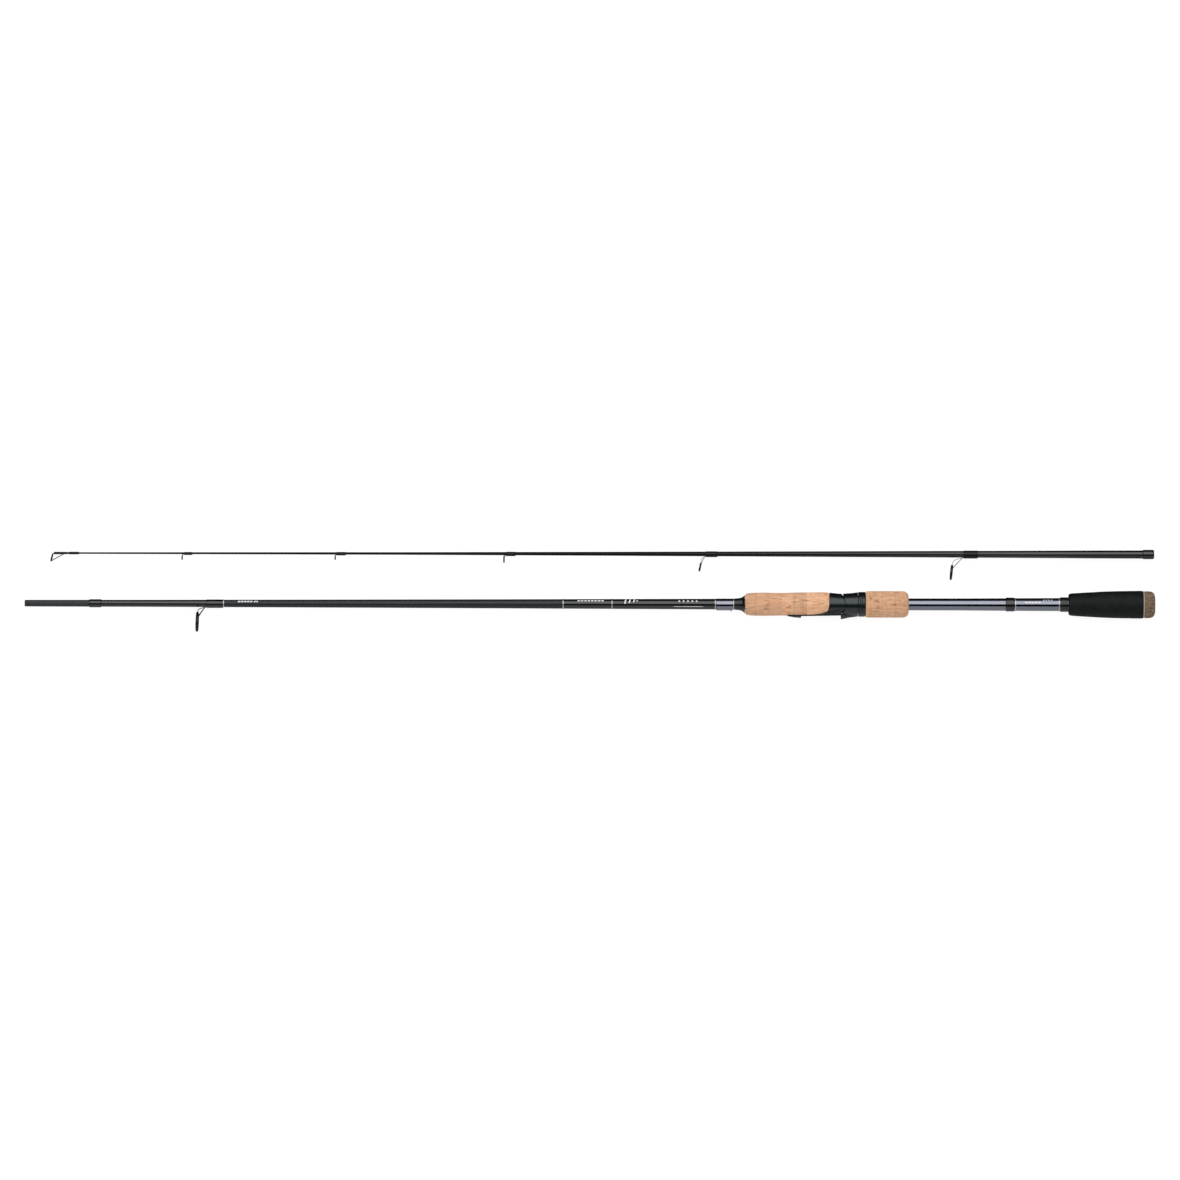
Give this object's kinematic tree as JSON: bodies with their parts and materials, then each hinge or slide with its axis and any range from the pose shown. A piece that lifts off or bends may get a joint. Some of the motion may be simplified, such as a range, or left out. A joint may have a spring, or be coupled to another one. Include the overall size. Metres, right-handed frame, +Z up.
{
  "type": "spinning rod",
  "caption": "Take-apart spinning rod: tapered blanks with a ferrule, ring guides, a screw-down reel seat and split cork and foam grips.",
  "frame": {"origin": "under the middle of the bounding box, on the surface that both sections lie on", "axes": "+X along the sections towards the butt, +Y from the butt section to the tip section, +Z up; the guides point to -Y"},
  "size_m": [1.0924, 0.0804, 0.0276],
  "materials": {
    "blank": "glossy lacquer over carbon fibre",
    "thread": "black thread under clear epoxy",
    "violet_thread": "metallic violet-grey thread under epoxy",
    "silver_trim": "bright metallic thread",
    "guide_frame": "smoked dark plating",
    "guide_ring": "polished dark ceramic",
    "cork": "sanded cork",
    "seat": "satin black",
    "foam": "matte closed-cell foam",
    "rubber_cork": "speckled rubberised cork",
    "cream_trim": "satin",
    "bush": "fibre"
  },
  "bodies": {
    "butt_section": {"butt_blank": "blank", "ferrule_plug": "thread", "ferrule_stop_wrap": "thread", "stripper_frame": "guide_frame", "stripper_ring": "guide_ring", "stripper_wrap": "thread", "trim_ring_1": "silver_trim", "trim_ring_2": "silver_trim", "trim_ring_3": "silver_trim", "trim_ring_4": "silver_trim", "trim_ring_5": "silver_trim", "trim_ring_6": "silver_trim", "trim_ring_7": "silver_trim", "keeper_wrap": "violet_thread", "hook_keeper": "guide_frame", "winding_check": "seat", "fore_grip": "cork", "reel_seat": "seat", "seat_bush_front": "bush", "seat_bush_middle": "bush", "seat_bush_rear": "bush", "handle_wrap": "thread", "grip_check": "seat", "eva_grip": "foam", "cap_trim": "cream_trim", "butt_cap": "rubber_cork"},
    "moving_hood": {"moving_hood": "seat"},
    "lock_nut": {"lock_nut": "seat", "nut_cork": "cork"},
    "tip_section": {"tip_blank": "blank", "tip_top_frame": "guide_frame", "tip_top_ring": "guide_ring", "tip_wrap": "thread", "ferrule_wrap": "thread", "guide_1_frame": "guide_frame", "guide_1_ring": "guide_ring", "guide_1_wrap": "thread", "guide_2_frame": "guide_frame", "guide_2_ring": "guide_ring", "guide_2_wrap": "thread", "guide_3_frame": "guide_frame", "guide_3_ring": "guide_ring", "guide_3_wrap": "thread", "guide_4_frame": "guide_frame", "guide_4_ring": "guide_ring", "guide_4_wrap": "thread", "guide_5_frame": "guide_frame", "guide_5_ring": "guide_ring", "guide_5_wrap": "thread"}
  },
  "joints": [
    {"name": "hood_slide", "type": "slide", "parent": "butt_section", "child": "moving_hood", "axis": [1, 0, 0.0051], "range_m": [0, 0.026]},
    {"name": "nut_turn", "type": "hinge", "parent": "moving_hood", "child": "lock_nut", "pos_m": [0.28378, -0.01287, 0.01291], "axis": [1, 0, 0.0051], "range_deg": [0, 4680]},
    {"name": "tip_section_slide", "type": "slide", "parent": "butt_section", "child": "tip_section", "axis": [-1, 0, 0], "range_m": [0, 1.13]}
  ],
  "couplings": [
    {"joint": "hood_slide", "follows": "nut_turn", "m_per_rad": 0.00031831}
  ]
}
